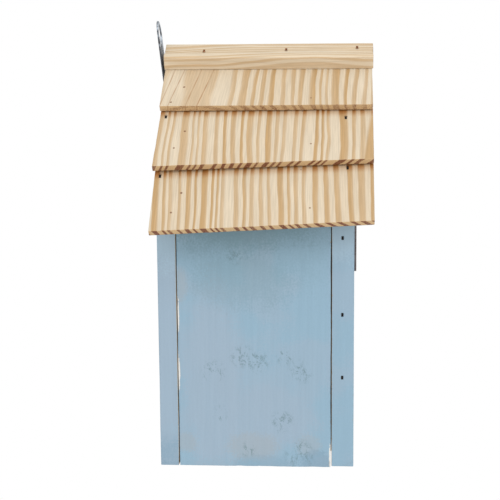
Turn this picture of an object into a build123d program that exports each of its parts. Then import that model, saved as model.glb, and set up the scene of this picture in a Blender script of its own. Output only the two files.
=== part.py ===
"""A wooden nest box that hangs from a steel plate.

Two gable boards stand 89 mm apart and carry three lapped roof boards on each slope, under a
moulded ridge cap.  The right side wall is nailed in; the left one is a clean-out door that swings
out at its foot on two pivot nails.  Millimetres, +Z up, the entrance faces -Y, and the origin is
the middle of the ground outline of the whole object.
"""
from build123d import *
from math import atan2, cos, radians, sin, sqrt, tan
import os

os.makedirs("parts", exist_ok=True)

# ---- body boards -------------------------------------------------------------------------
body_width = 140.0        # across the gables
front_thick = 13.0
back_thick = 11.0
inner_depth = 89.0        # width of the floor and the side wall, which space the gables
side_thick = 12.0
side_height = 150.0       # leaves an air gap under the roof
stave_width = 18.0        # outer staves of the front board
gable_peak = 229.7
floor_thick = 12.0
floor_rise = 3.0          # the floor stands up out of the wet
floor_clip = 8.0          # clipped corners drain it
eased = 0.5               # eased edges

# ---- clean-out door ----------------------------------------------------------------------
door_gap = 0.5            # each side of the door, to the gables
door_stop_gap = 0.3       # to the floor's edge when shut
pivot_height = 130.0

# ---- entrance ----------------------------------------------------------------------------
entrance_height = 136.0
entrance_bore = 35.0      # through the front board
guard_bore = 32.0         # through the guard plate
guard_side = 56.0
guard_thick = 1.6
guard_pin_inset = 6.0
guard_corner = 4.0

# ---- roof --------------------------------------------------------------------------------
pitch = 45.0
shingle = 4.4             # thickness of a roof board
front_overhang = 10.8
back_overhang = 1.4
lap_gap = 0.05            # between lapped boards, so that they only just touch
ridge_gap = 0.1           # each side of the mitre at the ridge
row_names = ("top", "middle", "eave")
row_start = (0.0, 30.5, 73.0)                 # down the slope from the peak to each upper edge
# lower edge of each row at its front and back end; the boards were sawn and nailed out of square
left_row_end = ((40.4, 41.3), (80.4, 86.3), (119.7, 127.4))
right_row_end = ((40.4, 40.4), (84.0, 84.0), (127.4, 119.7))
# how far the back end of each left board runs in at its top and out at its bottom
left_end_slant = ((0.6, 0.0), (0.6, 0.7), (0.5, 0.0))
square_ends = ((0.0, 0.0),) * 3

# ---- ridge cap, measured on the face of the top roof board ----------------------------------
cap_lap = 5.95            # the left strip runs this far past the ridge
cap_band = 6.0            # thickness of the nailing band
cap_front_extra = 0.6
cap_back_extra = 0.1
cap_right_start = 1.85    # the right strip stops short, under the left one
cap_width = 11.5
quirk_start = 4.0         # the groove between the nailing band and the bead
quirk_width = 0.6
quirk_floor = 5.3
bead_foot = 7.0           # height at which the bead leaves the quirk
bead_crest = (7.0, 8.4)
bead_end = (2.2, 7.8)     # back from the lower edge, and height
cove = (1.7, 7.1)
nose = (1.3, 7.3)
lower_lip = 0.6           # height of the small flat under the steep lower face

# ---- hanger ------------------------------------------------------------------------------
hanger_width = 15.0
hanger_thick = 0.9
hanger_foot = 184.0
hanger_bend = 207.0
hanger_top = 257.5
hanger_lean = 6.32        # degrees, clear of the roof's back end
eye_height = 250.0
eye_bore = 11.0
spare_hole_height = 241.0
spare_hole = 3.8
hanger_screw_heights = (189.0, 200.0)

# ---- nails and screws ----------------------------------------------------------------------
nail_fit = 0.03           # radial room in a nail hole
pivot_fit = 0.05          # radial room of the door's bores on the pivot nails
# heads are round, except a brad's, which is the small oblong one of a nail gun
brad = dict(shank=1.2, head=(1.3, 2.2), head_height=0.9, point=2.5)
wall_nail = dict(shank=1.8, head=3.6, head_height=1.0, point=3.0)
pivot_nail = dict(shank=2.4, head=5.0, head_height=1.2, point=2.0)
pin = dict(shank=1.4, head=3.0, head_height=0.8, point=2.0)
edge_brad_heights = (54.0, 91.0, 135.5)
wall_nail_heights = (22.0, 74.0, 122.0)
floor_nail_x = 32.0       # each side of the middle, through the gables
floor_nail_y = 24.0       # each side of the chamber's middle, through the side wall
point_radius = 0.25       # of a nail's blunt tip

# ---- places worked out from the above --------------------------------------------------------
half_width = body_width / 2
inner_x = half_width - side_thick
lean = radians(hanger_lean)
hanger_reach = (hanger_top - hanger_bend) * tan(lean) + hanger_thick / cos(lean)
body_depth = front_thick + inner_depth + back_thick
front_reach = front_overhang + cap_front_extra
front_face = -(body_depth + hanger_reach - front_reach) / 2
back_face = front_face + body_depth
chamber_front = front_face + front_thick
chamber_back = chamber_front + inner_depth
chamber_mid = (chamber_front + chamber_back) / 2
front_mid = front_face + front_thick / 2
back_mid = back_face - back_thick / 2
roof_front = front_face - front_overhang
roof_back = back_face + back_overhang
pivot_x = -(half_width - side_thick / 2)
door_width = inner_depth - 2 * door_gap
X, Y, Z = (1, 0, 0), (0, 1, 0), (0, 0, 1)


def reverse(direction):
    return tuple(-part for part in direction)


def finish(piece, label):
    """Name one finished piece and write it."""
    piece.part.label = label
    export_step(piece.part, f"parts/{label}.step")


# ---- fasteners -----------------------------------------------------------------------------
def nails(places, length, kind, grow=0.0):
    """Nails driven along +z of each place, heads flush with it; grow makes their holes."""
    head, head_height = kind["head"], kind["head_height"]
    straight = length - head_height - kind["point"]
    radius = kind["shank"] / 2 + grow
    with BuildPart() as group:
        with BuildSketch(*places):
            if isinstance(head, tuple):
                Rectangle(head[0] + 2 * grow, head[1] + 2 * grow)
            else:
                Circle(head / 2 + grow)
        extrude(amount=head_height + grow)
        with BuildSketch(*[place.offset(head_height / 2) for place in places]):
            Circle(radius)
        extrude(amount=straight + head_height / 2)
        for place in places:
            tip = place.offset(head_height + straight)
            with BuildSketch(tip):
                Circle(radius)
            with BuildSketch(tip.offset(kind["point"] + grow)):
                Circle(point_radius + grow)
            loft()
    return group.part


def holes_for(places, length, kind):
    return nails(places, length, kind, grow=nail_fit)


# ---- roof geometry ---------------------------------------------------------------------------
def row_tilts():
    """Each board rests on the gables at its top and on the upper edge of the row below."""
    eave_tilt = 0.0
    lift = shingle + lap_gap
    middle_tilt = atan2(lift, row_start[2] - row_start[1])
    corner_u = row_start[1] - lift * sin(middle_tilt)
    corner_w = lift * cos(middle_tilt)
    return atan2(corner_w, corner_u - row_start[0]), middle_tilt, eave_tilt


tilts = row_tilts()


def row_plane(side, row, height=0.0):
    """Underside of a roof board: +x runs down the slope, +z out of it, local y is side * y."""
    down = radians(pitch) - tilts[row]
    start = row_start[row] / sqrt(2)
    plane = Plane(
        origin=(side * start, 0, gable_peak - start),
        x_dir=(side * cos(down), 0, -sin(down)),
        z_dir=(side * sin(down), 0, cos(down)),
    )
    return plane.offset(height)


def roof_nail_places(side, row, spots):
    """Places on the outer face of a board, driven square to it.  A spot is (u, y)."""
    face = row_plane(side, row, shingle)
    places = []
    for u, y in spots:
        along = (u - row_start[row]) / cos(tilts[row])
        origin = face.from_local_coords(Vector(along, side * y, 0))
        places.append(Plane(origin=origin, x_dir=Y, z_dir=-face.z_dir))
    return places


# distance down the slope and y of each nail; the cap covers those of the top row
left_spots = (
    ((6.0, front_mid), (6.0, back_mid)),
    ((46.9, front_mid - 1.4), (45.8, back_mid + 3.1)),
    ((82.5, front_mid - 2.4), (88.5, back_mid + 3.3)),
)
right_spots = (
    ((6.0, front_mid), (6.0, back_mid)),
    ((46.0, front_mid + 0.8), (47.5, back_mid - 0.6)),
    ((89.0, front_mid - 1.2), (85.0, back_mid + 1.0)),
)
roof_nail_length = (11.0, 16.0, 16.0)         # the top pairs stay short of each other
roof_nails = []
roof_nail_holes = []
for side, spots in ((-1, left_spots), (1, right_spots)):
    for row in range(3):
        places = roof_nail_places(side, row, spots[row])
        roof_nails.append((side, nails(places, roof_nail_length[row], brad)))
        roof_nail_holes.append(holes_for(places, roof_nail_length[row], brad))

# ---- where the other nails go ----------------------------------------------------------------
edge_brad_length = 30.0
left_edge_places = [
    Plane(origin=(-half_width, front_mid + 0.3, h), x_dir=Y, z_dir=X) for h in edge_brad_heights
]
right_edge_places = [
    Plane(origin=(half_width, front_mid, h), x_dir=Y, z_dir=reverse(X)) for h in edge_brad_heights
]
edge_places = left_edge_places + right_edge_places

wall_nail_length = 30.0
wall_nail_x = half_width - side_thick / 2
wall_places = []
for height in wall_nail_heights:
    wall_places.append(Plane(origin=(wall_nail_x, front_face, height), x_dir=X, z_dir=Y))
    wall_places.append(Plane(origin=(wall_nail_x, back_face, height), x_dir=X, z_dir=reverse(Y)))

floor_mid = floor_rise + floor_thick / 2
floor_places = []
for x in (-floor_nail_x, floor_nail_x):
    floor_places.append(Plane(origin=(x, front_face, floor_mid), x_dir=X, z_dir=Y))
    floor_places.append(Plane(origin=(x, back_face, floor_mid), x_dir=X, z_dir=reverse(Y)))
for y in (chamber_mid - floor_nail_y, chamber_mid + floor_nail_y):
    floor_places.append(Plane(origin=(half_width, y, floor_mid), x_dir=Y, z_dir=reverse(X)))

pivot_reach = 11.5                            # of each pivot nail into the door
pivot_end_gap = 1.0                           # beyond each pivot nail's point
front_pivot = Plane(origin=(pivot_x, front_face, pivot_height), x_dir=X, z_dir=Y)
back_pivot = Plane(origin=(pivot_x, back_face, pivot_height), x_dir=X, z_dir=reverse(Y))
front_pivot_length = front_thick + door_gap + pivot_reach
back_pivot_length = back_thick + door_gap + pivot_reach

guard_face = front_face - guard_thick
pin_offset = guard_side / 2 - guard_pin_inset
pin_places = [
    Plane(origin=(x, guard_face, entrance_height + z), x_dir=X, z_dir=Y)
    for x in (-pin_offset, pin_offset)
    for z in (-pin_offset, pin_offset)
]
pin_length = 11.0

gable_holes = [
    holes_for(edge_places, edge_brad_length, brad),
    holes_for(wall_places, wall_nail_length, wall_nail),
    holes_for(floor_places, wall_nail_length, wall_nail),
    holes_for([front_pivot], front_pivot_length, pivot_nail),
    holes_for([back_pivot], back_pivot_length, pivot_nail),
    holes_for(pin_places, pin_length, pin),
] + roof_nail_holes


# ---- gable boards ------------------------------------------------------------------------------
def gable_slice(label, y_front, thick, x_low, x_high, entrance=False, screws=()):
    """An upright board between two x values, its top cut to the pitch of the roof."""
    face = Plane(origin=(0, y_front, 0), x_dir=X, z_dir=reverse(Y))
    outline = [(x_low, 0), (x_high, 0), (x_high, gable_peak - abs(x_high))]
    if x_low < 0 < x_high:
        outline.append((0, gable_peak))
    outline.append((x_low, gable_peak - abs(x_low)))
    with BuildPart() as board:
        with BuildSketch(face):
            with BuildLine():
                Polyline(*outline, close=True)
            make_face()
        extrude(amount=-thick)
        chamfer(board.edges().filter_by(Axis.X).sort_by(Axis.Z)[:2], eased)
        if entrance:
            with BuildSketch(face):
                with Locations((0, entrance_height)):
                    Circle(entrance_bore / 2)
            extrude(amount=-thick, mode=Mode.SUBTRACT)
        for holes in gable_holes:
            add(holes, mode=Mode.SUBTRACT)
        for cutter in screws:
            add(cutter, mode=Mode.SUBTRACT)
    finish(board, label)


# ---- hanger screws -------------------------------------------------------------------------------
screw_length = 11.0
screw_shank = 3.0
screw_head = 6.2
screw_head_height = 2.2
screw_head_taper = 12
recess_long, recess_wide, recess_deep = 3.2, 0.7, 1.1   # cross recess
hanger_face = back_face + hanger_thick


def hanger_screws(grow=0.0, heads=True):
    """Pan-head screws through the hanger into the back board."""
    with BuildPart() as group:
        for height in hanger_screw_heights:
            seat = Plane(origin=(0, hanger_face, height), x_dir=reverse(X), z_dir=Y)
            with BuildSketch(seat):
                Circle(screw_shank / 2 + grow)
            extrude(amount=-(screw_length + grow))
            if heads:
                with BuildSketch(seat):
                    Circle(screw_head / 2)
                extrude(amount=screw_head_height, taper=screw_head_taper)
                with BuildSketch(seat.offset(screw_head_height)):
                    Rectangle(recess_long, recess_wide)
                    Rectangle(recess_wide, recess_long)
                extrude(amount=-recess_deep, mode=Mode.SUBTRACT)
    return group


screw_holes = hanger_screws(grow=nail_fit, heads=False).part
seam = half_width - stave_width
gable_slice("front_centre_board", front_face, front_thick, -seam, seam, entrance=True)
gable_slice("front_left_stave", front_face, front_thick, -half_width, -seam)
gable_slice("front_right_stave", front_face, front_thick, seam, half_width)
gable_slice("back_board", chamber_back, back_thick, -half_width, half_width, screws=[screw_holes])

# ---- side wall, door and floor ---------------------------------------------------------------
with BuildPart() as fixed_side:
    with BuildSketch(Plane.XY):
        with Locations((wall_nail_x, chamber_mid)):
            Rectangle(side_thick, inner_depth)
    extrude(amount=side_height)
    chamfer(fixed_side.edges().filter_by(Axis.Y), eased)
    for holes in gable_holes:
        add(holes, mode=Mode.SUBTRACT)
finish(fixed_side, "fixed_side")

with BuildPart() as side_door:
    with BuildSketch(Plane.XY):
        with Locations((pivot_x, chamber_mid)):
            Rectangle(side_thick, door_width)
    extrude(amount=side_height)
    chamfer(side_door.edges().filter_by(Axis.Y), eased)
    chamfer(side_door.edges().filter_by(Axis.Z), eased)
    # blind bores in the edges of the door run on the pivot nails
    for pivot, length in ((front_pivot, front_pivot_length), (back_pivot, back_pivot_length)):
        with BuildSketch(pivot):
            Circle(pivot_nail["shank"] / 2 + pivot_fit)
        extrude(amount=length + pivot_end_gap, mode=Mode.SUBTRACT)
finish(side_door, "side_door")

with BuildPart() as floor_board:
    floor_left = -inner_x + door_stop_gap
    with BuildSketch(Plane.XY.offset(floor_rise)) as floor_outline:
        with Locations(((floor_left + inner_x) / 2, chamber_mid)):
            Rectangle(inner_x - floor_left, inner_depth)
        chamfer(floor_outline.vertices(), floor_clip)
    extrude(amount=floor_thick)
    for holes in gable_holes:
        add(holes, mode=Mode.SUBTRACT)
finish(floor_board, "floor_board")

# ---- entrance guard --------------------------------------------------------------------------
with BuildPart() as entrance_guard:
    with BuildSketch(Plane(origin=(0, front_face, entrance_height), x_dir=X, z_dir=reverse(Y))):
        RectangleRounded(guard_side, guard_side, guard_corner)
        Circle(guard_bore / 2, mode=Mode.SUBTRACT)
    extrude(amount=guard_thick)
    add(holes_for(pin_places, pin_length, pin), mode=Mode.SUBTRACT)
finish(entrance_guard, "entrance_guard")


# ---- roof boards -----------------------------------------------------------------------------
def roof_board(side, row, label, ends, slant, cap_holes):
    """One lapped board; ends are how far down the slope its lower edge lies, front and back."""
    start = row_start[row]
    run = cos(tilts[row])
    top = 0.0 if row else -shingle
    low_front, low_back = [(end - start) / run for end in ends]
    slant_in, slant_out = slant
    corners = (
        (top, side * roof_front),
        (low_front, side * roof_front),
        (low_back, side * (roof_back + slant_out)),
        (top, side * (roof_back - slant_in)),
    )
    with BuildPart() as board:
        with BuildSketch(row_plane(side, row)):
            with BuildLine():
                Polyline(*corners, close=True)
            make_face()
        extrude(amount=shingle)
        if row == 0:
            mitre = Plane.YZ.offset(side * ridge_gap)
            split(bisect_by=mitre, keep=Keep.TOP if side > 0 else Keep.BOTTOM)
        for holes in roof_nail_holes + cap_holes:
            add(holes, mode=Mode.SUBTRACT)
    finish(board, label)


# ---- ridge cap nails -------------------------------------------------------------------------
left_cap_face = row_plane(-1, 0, shingle + cap_band)
right_cap_face = row_plane(1, 0, shingle + cap_band)
# the face of a tilted board meets the ridge a little above its own zero
ridge_shift = shingle * tan(radians(pitch) - tilts[0])


def cap_nail_places(face, side, spots):
    return [
        Plane(origin=face.from_local_coords(Vector(s - ridge_shift, side * y, 0)),
              x_dir=Y, z_dir=-face.z_dir)
        for s, y in spots
    ]


cap_nail_length = 14.0
far_cap_nail_length = 9.0
# distance down the strip and y of each nail, by eye on the left and in line on the right
left_cap_spots = ((0.8, back_face - 22.3), (-0.1, front_face + 41.0), (-1.8, front_face - 1.7))
right_cap_line = (cap_right_start + quirk_start) / 2
right_cap_spots = [(right_cap_line, y) for y in (back_face - 14.0, front_face + 55.0, front_face + 8.0)]
left_cap_places = cap_nail_places(left_cap_face, -1, left_cap_spots)
right_cap_places = cap_nail_places(right_cap_face, 1, right_cap_spots)
left_cap_holes = holes_for(left_cap_places, cap_nail_length, brad)
right_cap_holes = holes_for(right_cap_places, far_cap_nail_length, brad)
cap_holes = [left_cap_holes, right_cap_holes]

for side, word, row_ends, slants in (
    (-1, "left", left_row_end, left_end_slant),
    (1, "right", right_row_end, square_ends),
):
    for row, row_name in enumerate(row_names):
        label = f"roof_{word}_{row_name}"
        roof_board(side, row, label, row_ends[row], slants[row], cap_holes)


# ---- ridge cap strips ------------------------------------------------------------------------
def cap_strip(side, start, label):
    """A moulded strip: flat nailing band, quirk, bead and a steep lower face."""
    cap_front = roof_front - cap_front_extra
    cap_back = roof_back + cap_back_extra
    board_face = row_plane(side, 0, shingle)
    section = Plane(
        origin=board_face.from_local_coords(Vector(-ridge_shift, side * cap_front, 0)),
        x_dir=board_face.x_dir,
        z_dir=reverse(Y),
    )
    up = 1 if section.y_dir.Z > 0 else -1
    quirk_end = quirk_start + quirk_width
    bead_end_x, nose_x, cove_x = [cap_width - inset for inset, _ in (bead_end, nose, cove)]
    with BuildPart() as strip:
        with BuildSketch(section):
            with BuildLine():
                Polyline(
                    (quirk_end, up * bead_foot), (quirk_end, up * quirk_floor),
                    (quirk_start, up * quirk_floor), (quirk_start, up * cap_band),
                    (start, up * cap_band), (start, 0), (cap_width, 0),
                    (cap_width, up * lower_lip), (nose_x, up * nose[1]), (cove_x, up * cove[1]),
                    (bead_end_x, up * bead_end[1]),
                )
                ThreePointArc(
                    (bead_end_x, up * bead_end[1]), (bead_crest[0], up * bead_crest[1]),
                    (quirk_end, up * bead_foot),
                )
            make_face()
        extrude(amount=-(cap_back - cap_front))
        for holes in cap_holes:
            add(holes, mode=Mode.SUBTRACT)
    finish(strip, label)


cap_strip(-1, -cap_lap, "ridge_cap_left")
cap_strip(1, cap_right_start, "ridge_cap_right")


# ---- hanger ------------------------------------------------------------------------------------
hanger_side = [
    (back_face, hanger_foot), (back_face, hanger_bend),
    (back_face + (hanger_top - hanger_bend) * tan(lean), hanger_top),
]
lean_plane = Plane(
    origin=(0, back_face, hanger_bend), x_dir=reverse(X), z_dir=(0, cos(lean), -sin(lean))
)


def up_the_lean(height):
    return (height - hanger_bend) / cos(lean)


hanger_clear = 1.0        # how far the hole cutters start outside the plate
with BuildPart() as hanger_plate:
    # side view: flat on the board below the bend, leaning back above it
    outer = (back_face + hanger_reach, hanger_top)
    bend_outer = (back_face + hanger_thick, hanger_bend - hanger_thick * tan(lean / 2))
    with BuildSketch(Plane.YZ):
        with BuildLine():
            Polyline(
                *hanger_side, outer, bend_outer, (back_face + hanger_thick, hanger_foot), close=True
            )
        make_face()
    extrude(amount=hanger_width / 2, both=True)
    # front view: both ends rounded
    with BuildSketch(Plane.XZ.offset(-back_face + hanger_reach)):
        span = hanger_top - hanger_foot
        with Locations((0, hanger_foot + span / 2)):
            SlotOverall(span, hanger_width, rotation=90)
    extrude(amount=-4 * hanger_reach, mode=Mode.INTERSECT)
    with BuildSketch(lean_plane.offset(-hanger_clear)):
        with Locations((0, up_the_lean(eye_height))):
            Circle(eye_bore / 2)
        with Locations((0, up_the_lean(spare_hole_height))):
            Circle(spare_hole / 2)
    extrude(amount=hanger_thick + 2 * hanger_clear, mode=Mode.SUBTRACT)
    add(screw_holes, mode=Mode.SUBTRACT)
finish(hanger_plate, "hanger_plate")


# ---- the fasteners themselves --------------------------------------------------------------------
def fasteners(label, *groups):
    with BuildPart() as piece:
        for group in groups:
            add(group)
    finish(piece, label)


fasteners("front_edge_brads", nails(edge_places, edge_brad_length, brad))
fasteners("side_wall_nails", nails(wall_places, wall_nail_length, wall_nail))
fasteners("floor_nails", nails(floor_places, wall_nail_length, wall_nail))
fasteners(
    "door_pivot_nails",
    nails([front_pivot], front_pivot_length, pivot_nail),
    nails([back_pivot], back_pivot_length, pivot_nail),
)
fasteners("entrance_guard_pins", nails(pin_places, pin_length, pin))
fasteners("roof_left_brads", *[group for side, group in roof_nails if side < 0])
fasteners("roof_right_brads", *[group for side, group in roof_nails if side > 0])
fasteners("ridge_cap_left_brads", nails(left_cap_places, cap_nail_length, brad))
fasteners("ridge_cap_right_brads", nails(right_cap_places, far_cap_nail_length, brad))
finish(hanger_screws(), "hanger_screws")
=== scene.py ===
"""Looks of the nest box: raw pine roof, thin blue paint on the body, dull steel fittings.

Every board is rebuilt as a rounded, slightly uneven plank in the place of its CAD node, and the
grain of each is a set of growth rings cut by the board, so that faces and end grain agree.
Points are in metres.  Sizes and distances along, across and through a board are millimetres.
"""
import math
from itertools import product

import bmesh
import bpy
from mathutils import Matrix, Vector, noise


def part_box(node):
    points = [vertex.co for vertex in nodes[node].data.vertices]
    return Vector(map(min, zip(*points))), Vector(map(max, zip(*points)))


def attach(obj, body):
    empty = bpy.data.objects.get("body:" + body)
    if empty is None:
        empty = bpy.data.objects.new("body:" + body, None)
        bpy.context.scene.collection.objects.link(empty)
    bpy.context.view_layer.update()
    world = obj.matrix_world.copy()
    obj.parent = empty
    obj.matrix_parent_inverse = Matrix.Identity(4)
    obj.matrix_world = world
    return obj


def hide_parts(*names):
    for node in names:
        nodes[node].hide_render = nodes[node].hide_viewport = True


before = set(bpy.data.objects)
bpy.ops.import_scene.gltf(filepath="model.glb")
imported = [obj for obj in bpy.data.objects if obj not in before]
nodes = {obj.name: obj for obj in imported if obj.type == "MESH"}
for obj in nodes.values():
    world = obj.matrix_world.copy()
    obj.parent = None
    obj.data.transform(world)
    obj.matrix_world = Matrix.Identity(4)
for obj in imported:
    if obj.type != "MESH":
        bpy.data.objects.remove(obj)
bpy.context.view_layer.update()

MM = 0.001
X, Y, Z = Vector((1, 0, 0)), Vector((0, 1, 0)), Vector((0, 0, 1))
CORNERS = tuple(product((0, 1), repeat=3))   # low or high end along u, v and w
WELD = 1e-6                                  # m, points nearer than this are one


# ---- reading the frame -----------------------------------------------------------------------
def node_points(node):
    return [v.co.copy() for v in nodes[node].data.vertices]


def broad_normal(node, toward):
    """Outward normal of a board's largest flat side among those that face toward."""
    areas = {}
    for face in nodes[node].data.polygons:
        if face.normal.dot(toward) > 0.2:
            key = tuple(round(part, 2) for part in face.normal)
            area, total = areas.get(key, (0.0, Vector()))
            areas[key] = (area + face.area, total + face.normal * face.area)
    return max(areas.values(), key=lambda entry: entry[0])[1].normalized()


def corner_points(node, *axes):
    """The eight corners of a board with u, v and w along the axes."""
    points = node_points(node)
    spans = []
    for axis in axes:
        reach = [p.dot(axis) for p in points]
        spans.append(max(reach) - min(reach))

    def score(point, key):
        return sum((2 * k - 1) * point.dot(a) / d for k, a, d in zip(key, axes, spans))
    return {key: max(points, key=lambda p: score(p, key)) for key in CORNERS}


def box_corners(node, *axes):
    """The same for a square-cut board whose axes are the frame's own, from its box."""
    low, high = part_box(node)
    middle, half = (low + high) / 2, (high - low) / 2
    corners = {}
    for key in CORNERS:
        offset = Vector()
        for end, axis in zip(key, axes):
            reach = half.dot(Vector(abs(part) for part in axis))
            offset += axis * ((2 * end - 1) * reach)
        corners[key] = middle + offset
    return corners


def lengths(corners):
    """Mean lengths along u, v and w in mm."""
    sums = [0.0, 0.0, 0.0]
    for (su, sv, sw), corner in corners.items():
        for k, other in enumerate(((1, sv, sw), (su, 1, sw), (su, sv, 1))):
            sums[k] += (corners[other] - corner).length / 4
    return [total / MM for total in sums]


def islands(node):
    """The points of each separate solid in a node."""
    mesh = bmesh.new()
    mesh.from_mesh(nodes[node].data)
    bmesh.ops.remove_doubles(mesh, verts=mesh.verts, dist=WELD)
    left = set(mesh.verts)
    groups = []
    while left:
        stack, group = [left.pop()], []
        while stack:
            vert = stack.pop()
            group.append(vert.co.copy())
            for edge in vert.link_edges:
                other = edge.other_vert(vert)
                if other in left:
                    left.remove(other)
                    stack.append(other)
        groups.append(group)
    mesh.free()
    return groups


def heads(node, out):
    """Middle of each fastener's head, where out is the direction that the heads face."""
    middles = []
    for group in islands(node):
        top = max(p.dot(out) for p in group)
        rim = [p for p in group if p.dot(out) > top - 0.05 * MM]
        middles.append(sum(rim, Vector()) / len(rim))
    return sorted(middles, key=tuple)


# ---- meshes --------------------------------------------------------------------------------
ROUND_STEPS = 3                      # rows of a grid in each rounded edge
GRID_STRETCH = (2.2, 1, 4)           # the grid's step along, across and through, in steps
SQUARE = ((0, 0), (1, 0), (1, 1), (0, 1))            # the corners of a grid cell in order
INNER_FACE = (2, 0)                  # a plank's broad side at w = 0
CUPPED, FACE_SINK = ((0.10, 34), (0.035, 4)), 0.14     # noise waves, and how far a face is set in
SAWN, END_SINK = ((0.10, 2.2), (0.12, 18)), 0.06
SIDE_ZONE, END_ZONE, NICK_ZONE = 2.5, 1.5, 1.2         # how far from an edge each one reaches
MARK_REACH = 4.0                     # edge_distance is 1 from here inwards


def graded(length, step, radius):
    """Distances along an edge: close together in the rounding at each end, then even."""
    turns = (math.pi / 2 * k / ROUND_STEPS for k in range(ROUND_STEPS + 1))
    ends = [radius * (1 - math.cos(turn)) for turn in turns]
    inner = max(2, round((length - 2 * radius) / step))
    middle = [radius + (length - 2 * radius) * k / inner for k in range(1, inner)]
    return ends + middle + [length - d for d in reversed(ends)]


def rounded_point(point, size, radius):
    """Moves a point of a box's surface onto the same box with rounded edges."""
    core = [min(max(p, radius), s - radius) for p, s in zip(point, size)]
    off = Vector(p - c for p, c in zip(point, core))
    if sum(abs(part) > 1e-9 for part in off) < 2:
        return point
    off = off.normalized() * radius
    return tuple(c + o for c, o in zip(core, off))


def wander(point, span, seed):
    """Smooth noise from -1 to 1 at a point, with features of about span mm."""
    return noise.noise(point / (span * MM) + Vector((seed * 7.1, seed * 3.7, seed * 1.3)))


def uneven(point, seed, waves):
    """Sum of noise waves, each (height, span) in mm, with a seed of its own."""
    return sum(height * wander(point, span, seed + k) for k, (height, span) in enumerate(waves))


def edge_reach(flat, size):
    """How far a point of a box's surface is from the nearest edge of its side."""
    return sorted(min(p, s - p) for p, s in zip(flat, size))[1]


def worn_point(point, flat, size, axes, upper, on_face, middle, seed, sway, inset):
    """A surface point moved for cupped faces, wavy sides, sawn ends and nicked edges."""
    u_axis, v_axis, w_axis = axes
    end, side = (min(flat[k], size[k] - flat[k]) for k in (0, 1))
    lift = uneven(point, seed, CUPPED) - FACE_SINK
    point = point + w_axis * (lift * MM) * (1 if upper else -1)
    if side < SIDE_ZONE:
        inward = 1 if flat[1] < size[1] / 2 else -1
        drift = uneven(point, seed + 2, ((sway, 30), (0.05, 5))) + inset
        point = point + v_axis * (inward * drift * MM)
    if end < 1e-6 or (end < END_ZONE and on_face):
        inward = 1 if flat[0] < size[0] / 2 else -1
        saw = uneven(point, seed + 4, SAWN) + END_SINK
        point = point + u_axis * (inward * saw * MM)
    to_edge = edge_reach(flat, size)
    if to_edge < NICK_ZONE:
        nick = max(0.0, wander(point, 6, seed + 6) - 0.25) * (NICK_ZONE - to_edge)
        point = point + (middle - point).normalized() * (nick * 0.5 * MM)
    return point


def solid_mesh(name, verts, faces, label, values):
    """A smooth closed mesh with one number per point under the label."""
    mesh = bpy.data.meshes.new(name)
    mesh.from_pydata(verts, [], faces)
    mark = mesh.attributes.new(label, "FLOAT", "POINT")
    for item, value in zip(mark.data, values):
        item.value = value
    work = bmesh.new()
    work.from_mesh(mesh)
    bmesh.ops.recalc_face_normals(work, faces=work.faces)
    work.to_mesh(mesh)
    work.free()
    for face in mesh.polygons:
        face.use_smooth = True
    return mesh


def plank_mesh(name, shape, size, axes, radius=0.5, step=1.5, seed=0, sway=0.12, inset=0.05,
               breaks=((), ())):
    """A board's surface as a grid on a rounded box of the given size, and each face's side.

    shape(a, b, c) places the unit cube in the frame: a runs with the grain, b across it and c
    through the board.  breaks are distances along a and b where the outline has a corner.
    """
    lists = [graded(length, step * k, radius) for length, k in zip(size, GRID_STRETCH)]
    for values, corners in zip(lists, breaks):
        for at in corners:
            nearest = min(range(len(values)), key=lambda n: abs(values[n] - at))
            values[nearest] = at
    last = [len(values) - 1 for values in lists]
    middle = shape(0.5, 0.5, 0.5)
    verts, edge_marks, places = [], [], {}

    def vert(i, j, k):
        if (i, j, k) not in places:
            flat = (lists[0][i], lists[1][j], lists[2][k])
            at = rounded_point(flat, size, radius)
            point = shape(*(p / s for p, s in zip(at, size)))
            places[i, j, k] = len(verts)
            verts.append(worn_point(point, flat, size, axes, k > last[2] / 2, k in (0, last[2]),
                                    middle, seed, sway, inset))
            edge_marks.append(min(1.0, edge_reach(flat, size) / MARK_REACH))
        return places[i, j, k]

    faces, sides = [], []
    for axis, far in product(range(3), (0, 1)):
        p, q = [n for n in range(3) if n != axis]
        for m, n in product(range(last[p]), range(last[q])):
            ring = []
            for dm, dn in SQUARE:
                index = [0, 0, 0]
                index[axis] = last[axis] if far else 0
                index[p], index[q] = m + dm, n + dn
                ring.append(vert(*index))
            faces.append(ring)
            sides.append((axis, far))
    return solid_mesh(name, verts, faces, "edge_distance", edge_marks), sides


def trilinear(corners):
    """A shape for plank_mesh from the board's eight corners."""
    def shape(a, b, c):
        point = Vector()
        for (su, sv, sw), corner in corners.items():
            weight = (a if su else 1 - a) * (b if sv else 1 - b) * (c if sw else 1 - c)
            point += corner * weight
        return point
    return shape


def place(mesh, name, body, node, slot):
    """A new piece that stands for a CAD node."""
    piece = bpy.data.objects.new(name, mesh)
    bpy.context.scene.collection.objects.link(piece)
    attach(piece, body)
    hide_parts(node)
    return piece


def dress(mesh, materials, sides=()):
    """Gives a mesh its materials: the second one is for a plank's inner broad side."""
    for material in materials:
        mesh.materials.append(material)
    for face, side in zip(mesh.polygons, sides):
        face.material_index = int(side == INNER_FACE)


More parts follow.
